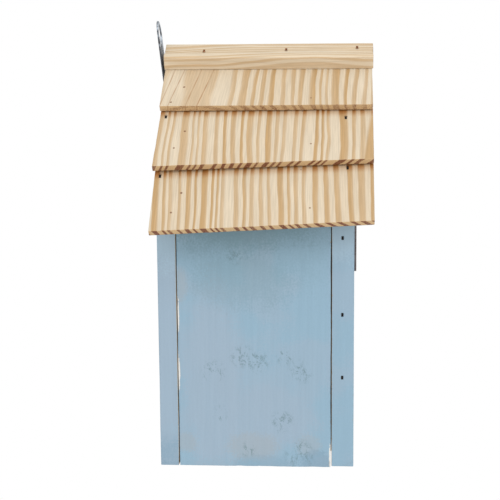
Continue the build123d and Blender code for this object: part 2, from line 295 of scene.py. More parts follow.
def softened(node, name, body, slot, material, width):
    """A copy of a small CAD piece with its sharp edges eased by width mm."""
    small = 4e-6     # m2, faces below this belong to curves
    mesh = nodes[node].data.copy()
    mesh.materials.clear()
    mesh.materials.append(material)
    work = bmesh.new()
    work.from_mesh(mesh)
    bmesh.ops.remove_doubles(work, verts=work.verts, dist=WELD)
    bmesh.ops.dissolve_limit(
        work, angle_limit=math.radians(2), verts=work.verts, edges=work.edges, delimit={"NORMAL"}
    )
    sharp = [e for e in work.edges if e.is_manifold and e.calc_face_angle(0) > math.radians(40)]
    bmesh.ops.bevel(
        work, geom=sharp, offset=width * MM, segments=2, profile=0.5, affect="EDGES",
        clamp_overlap=True,
    )
    work.to_mesh(mesh)
    work.free()
    for face in mesh.polygons:
        face.use_smooth = face.area < small
    return place(mesh, name, body, node, slot)


# ---- shader trees ------------------------------------------------------------------------------
class Tree:
    """A material's node tree with short calls for the nodes used here."""

    def __init__(self, name):
        self.material = bpy.data.materials.new(name)
        self.material.use_nodes = True
        self.nodes = self.material.node_tree.nodes
        self.links = self.material.node_tree.links
        self.shader = self.nodes["Principled BSDF"]
        self.coords = self.nodes.new("ShaderNodeTexCoord")

    def feed(self, socket, value):
        if isinstance(value, bpy.types.NodeSocket):
            self.links.new(value, socket)
        elif value is not None:
            socket.default_value = value

    def math(self, operation, a, b=None, c=None, clamp=False):
        node = self.nodes.new("ShaderNodeMath")
        node.operation = operation
        node.use_clamp = clamp
        for socket, value in zip(node.inputs, (a, b, c)):
            self.feed(socket, value)
        return node.outputs[0]

    def vector(self, operation, a, b=None, out="Vector"):
        node = self.nodes.new("ShaderNodeVectorMath")
        node.operation = operation
        self.feed(node.inputs[0], a)
        self.feed(node.inputs[1], b)
        return node.outputs[out]

    def combine(self, x, y, z):
        node = self.nodes.new("ShaderNodeCombineXYZ")
        for socket, value in zip(node.inputs, (x, y, z)):
            self.feed(socket, value)
        return node.outputs[0]

    def stretched(self, uvw, scales, shift=0.0):
        """Board coordinates scaled for a noise, with v shifted too."""
        u, v, w = (self.math("MULTIPLY", part, scale) for part, scale in zip(uvw, scales))
        return self.combine(u, self.math("ADD", v, shift), w)

    def facing(self, axis):
        """How far the surface faces along an axis, from -1 to 1."""
        return self.vector("DOT_PRODUCT", self.coords.outputs["Normal"], tuple(axis), out="Value")

    def distance_mm(self, point):
        away = self.vector("DISTANCE", self.coords.outputs["Object"], tuple(point), out="Value")
        return self.math("MULTIPLY", away, 1000.0)

    def noise(self, place, scale=1.0, detail=2.0, roughness=0.5, distortion=0.0):
        """Noise from 0 to 1, with about scale features per mm of place."""
        node = self.nodes.new("ShaderNodeTexNoise")
        self.feed(node.inputs["Vector"], place)
        self.feed(node.inputs["Scale"], scale)
        self.feed(node.inputs["Detail"], detail)
        self.feed(node.inputs["Roughness"], roughness)
        self.feed(node.inputs["Distortion"], distortion)
        return node.outputs["Fac"]

    def span(self, value, low, high, to_low=0.0, to_high=1.0):
        """Smooth step from to_low to to_high as value goes from low to high."""
        node = self.nodes.new("ShaderNodeMapRange")
        node.interpolation_type = "SMOOTHSTEP"
        for key, number in zip(
            ("Value", "From Min", "From Max", "To Min", "To Max"),
            (value, low, high, to_low, to_high),
        ):
            self.feed(node.inputs[key], number)
        return node.outputs["Result"]

    def mix(self, factor, a, b, blend="MIX"):
        node = self.nodes.new("ShaderNodeMix")
        node.data_type = "RGBA"
        node.blend_type = blend
        self.feed(node.inputs[0], factor)
        self.feed(node.inputs[6], a)
        self.feed(node.inputs[7], b)
        return node.outputs[2]

    def shade(self, tone, level):
        return self.mix(1.0, tone, self.combine(level, level, level), "MULTIPLY")

    def ramp(self, value, stops):
        """Straight steps through stops of (value, level)."""
        node = self.nodes.new("ShaderNodeValToRGB")
        band = node.color_ramp
        while len(band.elements) < len(stops):
            band.elements.new(0.5)
        for element, (at, level) in zip(band.elements, stops):
            element.position = at
            element.color = (level, level, level, 1)
        self.feed(node.inputs[0], value)
        return node.outputs[0]

    def attribute(self, name):
        node = self.nodes.new("ShaderNodeAttribute")
        node.attribute_name = name
        return node.outputs["Fac"]

    def finish(self, tone, roughness, height, depth, metallic=0.0, specular=0.3):
        """Sets the surface, with bumps depth mm deep, and gives the material."""
        self.feed(self.shader.inputs["Base Color"], tone)
        self.feed(self.shader.inputs["Roughness"], roughness)
        self.shader.inputs["Specular IOR Level"].default_value = specular
        self.shader.inputs["Metallic"].default_value = metallic
        bump = self.nodes.new("ShaderNodeBump")
        bump.inputs["Strength"].default_value = 1.0
        bump.inputs["Distance"].default_value = depth * MM
        self.links.new(height, bump.inputs["Height"])
        self.links.new(bump.outputs[0], self.shader.inputs["Normal"])
        return self.material


def colour(red, green, blue):
    """A display colour from 0 to 255 as the linear colour that Blender wants."""
    def linear(part):
        part /= 255
        return part / 12.92 if part <= 0.04045 else ((part + 0.055) / 1.055) ** 2.4
    return (linear(red), linear(green), linear(blue), 1.0)


def board_coords(tree, origin, axes):
    """u, v and w in mm: with the grain, across it and out of the broad face."""
    shifted = tree.vector("SUBTRACT", tree.coords.outputs["Object"], tuple(origin))
    scaled = tree.vector("MULTIPLY", shifted, (1000, 1000, 1000))
    return [tree.vector("DOT_PRODUCT", scaled, tuple(axis), out="Value") for axis in axes]


EARLY = colour(211, 196, 172)
LATE = colour(184, 150, 104)
END_EARLY = colour(206, 174, 130)
END_LATE = colour(112, 58, 34)
# dark stain round nails, and painted shade along the lower edge of the boards' ends
STAIN_AND_SHADE = colour(84, 58, 44)
# painted shade and weathering: darker, warmer wood just below each lap
LAP_SHADE_TAN = colour(218, 176, 128)
# painted shade for the hollows of the ridge caps' moulding
GROOVE_SHADE = colour(168, 128, 84)
VEIN = colour(150, 104, 62)
SPECK = colour(112, 72, 44)
RING_TAPER = 0.012                   # how fast the rings widen along the board
SLOW_BEND, QUICK_BEND = 9.0, 1.7     # mm, how far noise moves a ring
LATE_BAND = ((0.0, 0.0), (0.36, 0.0), (0.50, 0.8), (0.70, 1.0), (0.86, 1.0), (0.94, 0.0))
SPECK_CELLS, SPECK_ODDS = 0.07, 0.45     # cells per mm, and the share of them left clear


def centred(tree, value):
    """Noise from 0 to 1 as noise about zero."""
    return tree.math("SUBTRACT", value, 0.5)


def pine_grain(tree, uvw, pith, spacing, seed, bold=1.0):
    """Growth rings about a pith line that runs with the grain at pith = (v, w).

    Returns (latewood from 0 to 1, fine fibre, slow blotches, latewood of equal strength).
    """
    u, v, w = uvw
    shift = seed * 37.0
    slow = tree.noise(tree.stretched(uvw, (0.011, 0.02, 0.02), shift), detail=1.0)
    quick = tree.noise(tree.stretched(uvw, (0.035, 0.12, 0.12), shift), detail=2.0)
    across = tree.combine(
        tree.math("SUBTRACT", v, pith[0]), tree.math("SUBTRACT", w, pith[1]), 0.0)
    radius = tree.vector("LENGTH", across, out="Value")
    radius = tree.math("MULTIPLY_ADD", u, RING_TAPER, radius)
    radius = tree.math("MULTIPLY_ADD", centred(tree, slow), SLOW_BEND, radius)
    radius = tree.math("MULTIPLY_ADD", centred(tree, quick), QUICK_BEND, radius)
    # rings of uneven width, then the year that a point grew in and how far into it
    rings = tree.math("DIVIDE", radius, spacing)
    crowding = tree.noise(
        tree.combine(tree.math("MULTIPLY_ADD", rings, 0.55, shift), 0.0, 0.0), detail=0.0)
    rings = tree.math("MULTIPLY_ADD", crowding, 1.5, rings)
    year, phase = tree.math("FLOOR", rings), tree.math("FRACT", rings)
    luck = tree.nodes.new("ShaderNodeTexWhiteNoise")
    luck.noise_dimensions = "1D"
    tree.feed(luck.inputs["W"], tree.math("ADD", year, shift))
    width = tree.math("MULTIPLY_ADD", luck.outputs["Value"], 0.30, -0.10)
    band = tree.ramp(tree.math("ADD", phase, width), LATE_BAND)
    force = tree.math("MULTIPLY_ADD", luck.outputs["Value"], 0.45 * bold, 0.62 * bold)
    late = tree.math("MULTIPLY", band, force)
    fibre = tree.noise(
        tree.stretched(uvw, (0.05, 1.9, 1.9), shift), detail=3.0, roughness=0.65)
    return late, fibre, slow, band


def face_grain(tree, grain):
    """Colour of a face cut along the grain."""
    late, fibre, slow, _ = grain
    face = tree.mix(late, EARLY, LATE)
    face = tree.mix(tree.span(slow, 0.35, 0.65, 0.0, 0.35), face, tree.mix(0.35, face, LATE))
    return tree.shade(face, tree.span(fibre, 0.30, 0.72, 0.86, 1.06))


def end_grain(tree, w, grain, pores, force, speckle, thick):
    """Colour of a sawn end, with painted shade along its lower edge where the board's thickness is
    given.
    """
    late, _, _, band = grain
    tone = tree.math("MULTIPLY", tree.span(band, 0.35, 0.75),
                     tree.span(late, 0.0, 0.9, 0.35, 1.0))
    dots = tree.span(pores, 0.40, 0.70, -0.25 * speckle, 0.40 * speckle)
    tone = tree.math("MULTIPLY_ADD", tone, force, dots, clamp=True)
    out = tree.mix(tone, END_EARLY, END_LATE)
    # painted shade: a dark line along the end's lower edge, where the board rests on the one below
    if thick:
        under = tree.math("MULTIPLY_ADD", centred(tree, pores), 0.8, w)
        out = tree.mix(tree.span(under, -thick, 0.9 - thick, 0.8, 0.0), out, STAIN_AND_SHADE)
    return out


def specks(tree, uvw, out):
    """A few dark specks, each in a cell of its own."""
    cells = tree.nodes.new("ShaderNodeTexVoronoi")
    tree.feed(cells.inputs["Vector"], tree.combine(*uvw))
    tree.feed(cells.inputs["Scale"], SPECK_CELLS)
    near = tree.math("DIVIDE", cells.outputs["Distance"], SPECK_CELLS)
    draw = tree.vector("DOT_PRODUCT", cells.outputs["Color"], (1, 0, 0), out="Value")
    chosen = tree.math("GREATER_THAN", draw, SPECK_ODDS)
    speck = tree.math("MULTIPLY", tree.span(near, 0.4, 0.9, 0.9, 0.0), chosen)
    return tree.mix(speck, out, SPECK)


def lap_shade_and_weathering(tree, uvw, out, late, pores, lap):
    """Painted shade and weathering just below the board above, which ends at lap = (back, front,
    width).
    """
    u, v, _ = uvw
    back, front, width = lap
    below = tree.math("MULTIPLY_ADD", v, (back - front) / width, tree.math("SUBTRACT", u, back))
    below = tree.math("MULTIPLY_ADD", centred(tree, pores), 1.5, below)
    lap_shaded = tree.math("MULTIPLY", tree.span(below, 0.0, 5.5, 1.0, 0.0),
                        tree.span(late, 0.0, 0.9, 0.45, 1.0))
    return tree.mix(lap_shaded, out, tree.mix(1.0, out, LAP_SHADE_TAN, "MULTIPLY"))


def pine_colour(tree, uvw, axes, grain, marks, lap, end_force, speckle, thick):
    """Colour of raw pine: faces and ends, specks, stains round nails, and painted shade and
    weathering below laps.
    """
    pores = tree.noise(tree.stretched(uvw, (2.4, 2.4, 2.4)), detail=3.0, roughness=0.7)
    ends = tree.math("ABSOLUTE", tree.facing(axes[0]))
    out = tree.mix(tree.span(ends, 0.55, 0.85), face_grain(tree, grain),
                   end_grain(tree, uvw[2], grain, pores, end_force, speckle, thick))
    out = specks(tree, uvw, out)
    for mark in marks:
        away = tree.math("MULTIPLY_ADD", pores, 1.4, tree.distance_mm(mark))
        out = tree.mix(tree.span(away, 1.2, 2.2, 0.55, 0.0), out, STAIN_AND_SHADE)
    return lap_shade_and_weathering(tree, uvw, out, grain[0], pores, lap) if lap else out


def slanted(tree, uvw, start, slope):
    """Distance in v beyond a line that starts at v = start and leans back with u."""
    u, v, _ = uvw
    return tree.math("MULTIPLY_ADD", u, slope, tree.math("SUBTRACT", v, start))


def resin_veins(tree, uvw, out, grain, veins):
    """Thin broken dark lines that bend with the grain."""
    _, fibre, slow, _ = grain
    broken = tree.span(fibre, 0.35, 0.65, 0.15, 0.75)
    bend = tree.math("MULTIPLY", centred(tree, slow), 5.0)
    for start, slope in veins:
        off = tree.math("ABSOLUTE", tree.math("ADD", slanted(tree, uvw, start, slope), bend))
        line = tree.math("MULTIPLY", tree.span(off, 0.1, 0.5, 1.0, 0.0), broken)
        out = tree.mix(line, out, VEIN)
    return out


def moulded(tree, out):
    """Painted shade in the hollows, painted highlights on the ridges and painted warm light on the
    steep parts of a moulded strip.
    """
    hollow = tree.attribute("hollow")
    out = tree.mix(tree.span(hollow, 0.04, 0.30, 0.0, 0.75), out, GROOVE_SHADE)
    out = tree.mix(tree.span(hollow, -0.30, -0.05, 0.35, 0.0), out, EARLY)
    # painted light by which way the surface faces: the steep parts lighter and warmer
    steep_light = tree.span(tree.facing(Z), 0.25, 0.75, 1.12, 1.0)
    steep_light_tint = tree.combine(steep_light, tree.math("MULTIPLY_ADD", steep_light, 0.8, 0.2),
                        tree.math("MULTIPLY_ADD", steep_light, 0.5, 0.5))
    return tree.mix(1.0, out, steep_light_tint, "MULTIPLY")


def pine(name, origin, axes, pith, spacing, seed, marks=(), lap=None, lean=0.0, end_force=1.0,
         speckle=1.0, thick=None, wedge=None, calm=None, veins=(), moulding_shade=False, bold=1.0):
    """Raw pine for one board, with coordinates from the origin along the axes.

    lap is where the board above ends, lean turns the grain near v = 0, calm is how far from
    there the rings stay faint, and wedge and veins are a broad late ring and thin resin lines,
    as (v at the top, slope).
    """
    tree = Tree(name)
    uvw = board_coords(tree, origin, axes)
    if lean:
        u, v, w = uvw
        fade = tree.span(v, 0.0, 110.0, lean, 0.0)
        uvw = [u, tree.math("MULTIPLY_ADD", u, fade, v), w]
    late, fibre, slow, band = pine_grain(tree, uvw, pith, spacing, seed, bold)
    if wedge:
        late = tree.math("MAXIMUM", late,
                         tree.span(slanted(tree, uvw, *wedge), 0.0, 2.5, 0.0, 0.95))
    if calm:
        late = tree.math("MULTIPLY", late, tree.span(uvw[1], calm * 0.7, calm * 1.2, 0.55, 1.0))
    grain = (late, fibre, slow, band)
    out = pine_colour(tree, uvw, axes, grain, marks, lap, end_force, speckle, thick)
    if veins:
        out = resin_veins(tree, uvw, out, grain, veins)
    # painted light and shade on a moulded strip
    if moulding_shade:
        out = moulded(tree, out)
    height = tree.math("MULTIPLY_ADD", late, 0.45, tree.math("MULTIPLY", fibre, 0.6))
    rough = tree.span(late, 0.0, 1.0, 0.62, 0.50)
    return tree.finish(out, rough, height, depth=0.16)


BLUE = colour(139, 168, 186)
GREY_BLUE = colour(149, 168, 184)
WARM_GREY = colour(153, 164, 172)
DEEP_BLUE = colour(116, 144, 163)
# painted shade: greyer blue for the top of the door, where the eave's shadow falls
EAVE_SHADE_GREY = colour(114, 143, 153)
# painted light: paler blue that lightens the strips beside the door just below the eave, against
# the roof's shade
PAINTED_LIGHT_BLUE = colour(160, 184, 200)
RUBBED = colour(94, 118, 122)
# pale worn paint with a painted highlight: near white, for the lit edge in the gap beside the door
WORN_LIT_EDGE = colour(222, 218, 210)
DIRT = colour(100, 118, 128)
BARE = colour(176, 156, 130)
NAIL_RING = colour(70, 78, 84)


def offset_from(tree, *parts):
    """Distance from a middle in units of the reach; parts are (value, middle, reach)."""
    scaled = [tree.math("DIVIDE", tree.math("SUBTRACT", value, middle), reach)
              for value, middle, reach in parts]
    while len(scaled) < 3:
        scaled.append(0.0)
    return tree.vector("LENGTH", tree.combine(*scaled), out="Value")


def rubbed_marks(tree, coat, uvw, place3, shift, scuffs):
    """Broken darker marks where the paint was rubbed."""
    u, v, _ = uvw
    swirl = tree.noise(
        tree.combine(tree.math("MULTIPLY", v, 0.30),
                     tree.math("MULTIPLY_ADD", v, 0.10, tree.math("MULTIPLY", u, 0.2)), shift),
        detail=5.0, roughness=0.75, distortion=0.8)
    strokes = tree.span(swirl, 0.50, 0.57)
    spots = tree.span(tree.noise(place3, scale=1.2, detail=2.0, roughness=0.6), 0.46, 0.53)
    spots = tree.math("MULTIPLY_ADD", spots, 0.7, 0.3)
    for middle_v, middle_u, reach in scuffs:
        away = offset_from(tree, (v, middle_v, reach), (u, middle_u, reach))
        near = tree.math("MULTIPLY", tree.span(away, 0.3, 1.0, 0.62, 0.0), strokes)
        coat = tree.mix(tree.math("MULTIPLY", near, spots), coat, RUBBED)
    return coat


def edge_wear(tree, coat, place3):
    """Dirt beside the edges and chips on them; returns the coat and the chips."""
    edge = tree.attribute("edge_distance")
    patchy = tree.noise(place3, scale=0.35, detail=4.0, roughness=0.7)
    chips = tree.math("MULTIPLY", tree.span(edge, 0.0, 0.22, 1.0, 0.0),
                      tree.span(patchy, 0.62, 0.70))
    dirt = tree.math("MULTIPLY", tree.span(edge, 0.0, 0.25, 0.20, 0.0),
                     tree.span(patchy, 0.42, 0.60))
    return tree.mix(chips, tree.mix(dirt, coat, DIRT), BARE), chips


def paint(name, origin, axes, seed, marks=(), patches=(), scuffs=(), worn=()):
    """Thin matt blue paint: patchy cover, grain showing through, worn edges, small chips.

    patches are (v, u, reach in v, reach in u, colour, strength) with ragged outlines, among them
    painted shade and painted light, scuffs are (v, u, reach) of rubbed marks, and worn are (v, u,
    reach in u) of pale worn arrises, painted near white as a painted highlight for the lit gap
    beside them.
    """
    tree = Tree(name)
    u, v, w = uvw = board_coords(tree, origin, axes)
    late, fibre, _, _ = pine_grain(tree, uvw, (60 + 20 * seed, -90), 6.5, seed + 20)
    shift = seed * 11.0
    place3 = tree.combine(tree.math("ADD", u, shift), v, w)
    grit = centred(tree, tree.noise(place3, scale=0.9, detail=2.0))
    cloud = tree.noise(place3, scale=0.016, detail=3.0, roughness=0.55)
    cloud = tree.math("MULTIPLY_ADD", grit, 0.16, cloud)
    coat = tree.mix(tree.span(cloud, 0.46, 0.56, 0.0, 0.55), BLUE, GREY_BLUE)
    ragged = tree.noise(place3, scale=0.07, detail=6.0, roughness=0.75)
    ragged = tree.math("MULTIPLY_ADD", centred(tree, ragged), 1.1,
                       tree.math("MULTIPLY", grit, 0.9))
    spots = [(offset_from(tree, (v, at_v, reach_v), (u, at_u, reach_u)), tone, strength)
             for at_v, at_u, reach_v, reach_u, tone, strength in patches]
    # worn arrises: pale wear with a painted highlight
    spots += [(offset_from(tree, (v, at_v, 0.8), (u, at_u, reach), (w, 0.0, 2.0)), WORN_LIT_EDGE, 1.0)
              for at_v, at_u, reach in worn]
    for away, tone, strength in spots:
        inside = tree.span(tree.math("ADD", away, ragged), 0.7, 1.3, strength, 0.0)
        coat = tree.mix(inside, coat, tone)
    brush = tree.noise(tree.stretched(uvw, (0.03, 0.6, 0.6)), detail=3.0, roughness=0.6)
    shade = tree.span(tree.math("MULTIPLY_ADD", grit, 0.5, brush), 0.25, 0.75, 0.975, 1.02)
    coat = tree.shade(coat, shade)
    coat = tree.mix(tree.math("MULTIPLY", late, 0.05), coat, DEEP_BLUE)
    if scuffs:
        coat = rubbed_marks(tree, coat, uvw, place3, shift, scuffs)
    coat, chips = edge_wear(tree, coat, place3)
    pores = tree.noise(place3, scale=2.2, detail=3.0, roughness=0.7)
    for mark in marks:
        away = tree.math("MULTIPLY_ADD", pores, 0.8, tree.distance_mm(mark))
        coat = tree.mix(tree.span(away, 0.9, 1.7, 0.5, 0.0), coat, NAIL_RING)
    height = tree.math("ADD", tree.math("MULTIPLY", fibre, 0.25), tree.math("MULTIPLY", late, 0.25))
    for part, amount in ((brush, 0.4), (grit, 0.5), (chips, -1.2)):
        height = tree.math("MULTIPLY_ADD", part, amount, height)
    rough = tree.span(brush, 0.3, 0.7, 0.56, 0.68)
    return tree.finish(coat, rough, height, depth=0.10)


def steel(name, base, dark, scale, roughness, seed, dark_below=None):
    """Dull metal with cloudy tarnish, and darker all over below dark_below = (low, high) in height.
    """
    tree = Tree(name)
    place3 = tree.vector("MULTIPLY", tree.coords.outputs["Object"], (1000, 1000, 1000))
    place3 = tree.vector("ADD", place3, (seed, seed, seed))
    cloud = tree.noise(place3, scale=scale, detail=5.0, roughness=0.65)
    fine = tree.noise(place3, scale=scale * 9, detail=2.0)
    tone = tree.span(tree.math("MULTIPLY_ADD", fine, 0.25, cloud), 0.45, 0.80)
    # darker below a height: on the hanger this is painted shade
    if dark_below:
        height = tree.vector("DOT_PRODUCT", place3, (0, 0, 1), out="Value")
        darkened = tree.span(tree.math("MULTIPLY_ADD", cloud, 6.0, height), *dark_below, 0.85, 0.0)
        tone = tree.math("MAXIMUM", tone, darkened)
    rough = tree.span(cloud, 0.3, 0.7, roughness - 0.08, roughness + 0.14)
    return tree.finish(tree.mix(tone, base, dark), rough, fine, depth=0.03, metallic=0.85,
                       specular=0.5)


# ---- boards ------------------------------------------------------------------------------------
def roof_axes(node, side):
    """Down the slope, towards the front, and out of the board."""
    out = broad_normal(node, Vector((side, 0, 1)))
    down = out.cross(Y) * (-side)
    return down.normalized(), -Y, out


def roof_board(node, side, seed, pith, spacing, above=None, marks=(), **looks):
    """A roof board; above is the node of the board that laps over its upper edge.

    The growth rings' middle runs at pith = (v, w), and a ring is spacing mm wide.
    """
    axes = roof_axes(node, side)
    corners = corner_points(node, *axes)
    size = lengths(corners)
    origin = corners[0, 0, 1]
    lap = None
    if above:
        upper = corner_points(above, *roof_axes(above, side))
        lap = [(upper[1, end, 0] - origin).dot(axes[0]) / MM for end in (0, 1)] + [size[1]]
    mesh, _ = plank_mesh(
        node + "_board", trilinear(corners), size, axes, radius=0.45, step=1.3, seed=seed
    )
    dress(mesh, [pine(node + "_pine", origin, axes, pith, spacing, seed, marks, lap=lap,
                      thick=size[2], **looks)])
    place(mesh, node + "_board", "house", node, "roof_pine")


def body_materials(node, origin, axes, seed, **looks):
    """Blue paint, and bare pine for the inner side."""
    return [
        paint(node + "_paint", origin, axes, seed, **looks),
        pine(node + "_bare", origin, axes, (40 + 13 * seed, -60), 5.0, seed + 40),
    ]


def gable_shape(low, high, flip):
    """A board whose columns run up from its foot to 45 degree slopes, turned round by flip."""
    def shape(a, b, c):
        x = low.x + (high.x - low.x) * b
        y = low.y + (high.y - low.y) * (1 - c if flip else c)
        return Vector((x, y, low.z + (high.z - abs(x) - low.z) * a))
    return shape


def gable_board(node, outward, seed, **looks):
    """The front's or the back's board with a peak in its middle."""
    low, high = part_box(node)
    size = ((high.z - low.z) / MM, (high.x - low.x) / MM, (high.y - low.y) / MM)
    axes = (Z, X, outward)
    mesh, sides = plank_mesh(
        node + "_board", gable_shape(low, high, outward.y < 0), size, axes, step=2.4, seed=seed,
        breaks=((), (size[1] / 2,)),
    )
    dress(mesh, body_materials(node, low, axes, seed, **looks), sides)
    return place(mesh, node + "_board", "house", node, "painted_pine")


FACETS = 96
BORE_RADIUS = 17.5 * MM
BORE_EASE = 0.6 * MM                 # how far the rims are eased


def bore_cutter(middle, low, high):
    """A slightly uneven drum along Y that flares at the faces y = low and y = high."""
    ease = BORE_EASE
    stations = (
        (low - 2 * ease, 3 * ease), (low + ease, 0), (high - ease, 0), (high + 2 * ease, 3 * ease),
    )
    work = bmesh.new()
    rings = []
    for y, grow in stations:
        ring = []
        for k in range(FACETS):
            turn = 2 * math.pi * k / FACETS
            along, up = math.cos(turn), math.sin(turn)
            ripple = 0.12 * MM * noise.noise(Vector((along, up, y * 90)) * 3)
            reach = BORE_RADIUS + grow + ripple
            ring.append(work.verts.new((middle.x + reach * along, y, middle.z + reach * up)))
        rings.append(ring)
    for one, two in zip(rings, rings[1:]):
        for k in range(FACETS):
            work.faces.new((one[k - 1], one[k], two[k], two[k - 1]))
    work.faces.new(rings[0])
    work.faces.new(reversed(rings[-1]))
    bmesh.ops.recalc_face_normals(work, faces=work.faces)
    mesh = bpy.data.meshes.new("entrance_cutter")
    work.to_mesh(mesh)
    work.free()
    return mesh


def drill(piece, middle):
    """Cuts the round entrance along Y, and shows bare wood in it."""
    depths = [v.co.y for v in piece.data.vertices]
    cutter = bpy.data.objects.new(
        "entrance_cutter", bore_cutter(middle, min(depths), max(depths)))
    bpy.context.scene.collection.objects.link(cutter)
    cut = piece.modifiers.new("entrance", "BOOLEAN")
    cut.object = cutter
    cut.solver = "EXACT"
    bpy.context.view_layer.update()
    depsgraph = bpy.context.evaluated_depsgraph_get()
    drilled = bpy.data.meshes.new_from_object(piece.evaluated_get(depsgraph))
    piece.modifiers.clear()
    piece.data = drilled
    bpy.data.objects.remove(cutter)
    for face in drilled.polygons:
        across = Vector((face.center.x - middle.x, 0, face.center.z - middle.z)).length
        if across < BORE_RADIUS + 0.9 * BORE_EASE:
            face.material_index = 1
    drilled.set_sharp_from_angle(angle=math.radians(50))


def painted_board(node, body, axes, corners, origin, looks, **cut):
    """A square-cut painted board; cut is how its plank is made and looks how it is painted."""
    mesh, sides = plank_mesh(node + "_board", trilinear(corners), lengths(corners), axes, **cut)
    dress(mesh, body_materials(node, origin, axes, cut["seed"], **looks), sides)
    place(mesh, node + "_board", body, node, "painted_pine")


def stave(node, seed, **looks):
    """One of the narrow boards at the sides of the front."""
    axes = (Z, X, -Y)
    low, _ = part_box(node)
    painted_board(node, "house", axes, corner_points(node, *axes), low, looks, seed=seed, step=1.6)


def side_board(node, body, side, seed, **looks):
    """The fixed side wall or the door, seen from outside: v runs towards the front."""
    axes = (Z, -Y, X * side)
    corners = box_corners(node, *axes)
    painted_board(node, body, axes, corners, corners[0, 0, 1], looks, seed=seed, step=1.8,
                  radius=0.2, sway=0.25, inset=-0.08)


def floor_board(node, seed):
    """The floor, with its corners clipped."""
    low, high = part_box(node)
    long, deep, thick = (high - low) / MM
    clip = 8.0
    middle_y = (low.y + high.y) / 2

    def shape(a, b, c):
        x = a * long
        half = deep / 2 - max(0.0, clip - min(x, long - x))
        y = middle_y + (2 * b - 1) * half * MM
        return Vector((low.x + x * MM, y, low.z + (high.z - low.z) * c))
    mesh, _ = plank_mesh(
        node + "_piece", shape, (long, deep, thick), (X, Y, Z), step=2.4, seed=seed,
        breaks=((clip, long - clip), ()),
    )
    dress(mesh, [pine(node + "_pine", low, (X, Y, Z), (50, -34), 5.5, seed)])
    place(mesh, node + "_piece", "house", node, "raw_pine")


# ---- ridge caps ----------------------------------------------------------------------------------
def end_outline(node):
    """The profile of a strip that runs along Y, in order, as (x, z) in metres."""
    work = bmesh.new()
    work.from_mesh(nodes[node].data)
    bmesh.ops.remove_doubles(work, verts=work.verts, dist=WELD)
    front = min(v.co.y for v in work.verts)
    cap = {f for f in work.faces if all(abs(v.co.y - front) < 1e-5 for v in f.verts)}
    rim = {e for f in cap for e in f.edges if sum(g in cap for g in e.link_faces) == 1}
    first = min(rim, key=lambda e: e.index)
    vert, edge, order = first.verts[0], first, []
    while not order or vert is not first.verts[0]:
        order.append(Vector((vert.co.x, vert.co.z)))
        vert = edge.other_vert(vert)
        edge = next((e for e in vert.link_edges if e in rim and e is not edge), first)
    work.free()
    area = sum(a.x * b.y - b.x * a.y for a, b in zip(order, order[1:] + order[:1]))
    return order if area > 0 else order[::-1]


def eased_outline(points, radius, step):
    """Rounds an outline's sharp corners and divides its long runs, with lengths in metres."""
    eased = []
    count = len(points)
    for k, point in enumerate(points):
        back, on = points[k - 1] - point, points[(k + 1) % count] - point
        before, after = back.normalized(), on.normalized()
        if before.angle(-after) > math.radians(25):
            reach = min(radius, back.length * 0.4, on.length * 0.4)
            start, end = point + before * reach, point + after * reach
            eased += [start, (start + end) / 4 + point / 2, end]
        else:
            eased.append(point)
    fine = []
    for one, two in zip(eased, eased[1:] + eased[:1]):
        parts = max(1, math.ceil((two - one).length / step))
        fine += [one.lerp(two, n / parts) for n in range(parts)]
    return fine


def outline_normals(outline):
    """Outward normals of an outline, and how hollow it is at each point in mm."""
    count = len(outline)
    normals, hollows = [], []
    for k in range(count):
        run = (outline[(k + 1) % count] - outline[k - 1]).normalized()
        normals.append(Vector((run.y, -run.x)))
        chord = (outline[(k + 2) % count] + outline[k - 2]) / 2 - outline[k]
        hollows.append(chord.dot(normals[k]) / MM)
    return normals, hollows


def swept_points(outline, normals, start, length, stations, radius, seed):
    """The outline at each station along Y, shrunk in the end roundings and made uneven."""
    points = []
    for d in stations:
        end = min(d, length - d)
        inset = radius - math.sqrt(max(0.0, radius ** 2 - (radius - min(end, radius)) ** 2))
        for point, normal in zip(outline, normals):
            at = Vector((point.x, start + d * MM, point.y))
            sink = inset + 0.07 + uneven(at, seed, ((0.07, 26), (0.03, 3.5)))
            saw = 0.12 * (1 + wander(at, 3, seed + 2)) if end < 0.2 else 0.0
            at.y += saw * MM * (1 if d < length / 2 else -1)
            at -= Vector((normal.x, 0, normal.y)) * (sink * MM)
            points.append(at)
    return points


def cap_strip(node, seed, marks):
    """One of the two moulded strips over the ridge, swept along Y."""
    radius, run_step, outline_step = 0.5, 3.0, 0.9
    outline = eased_outline(end_outline(node), radius * MM, outline_step * MM)
    normals, hollows = outline_normals(outline)
    low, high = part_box(node)
    length = (high.y - low.y) / MM
    stations = graded(length, run_step, radius)
    verts = swept_points(outline, normals, low.y, length, stations, radius, seed)
    count = len(outline)
    faces = []
    for ring in range(len(stations) - 1):
        for k in range(count):
            one, two = ring * count + k, ring * count + (k + 1) % count
            faces.append((one, two, two + count, one + count))
    faces.append(tuple(range(count)))
    faces.append(tuple(reversed(range(len(verts) - count, len(verts)))))
    mesh = solid_mesh(node + "_strip", verts, faces, "hollow", hollows * len(stations))
    mesh.set_sharp_from_angle(angle=math.radians(40))
    dress(mesh, [pine(node + "_pine", low, (Y, X, Z), (-30, -46), 2.6, seed, marks, bold=0.7,
                      moulding_shade=True)])
    place(mesh, node + "_strip", "house", node, "cap_pine")


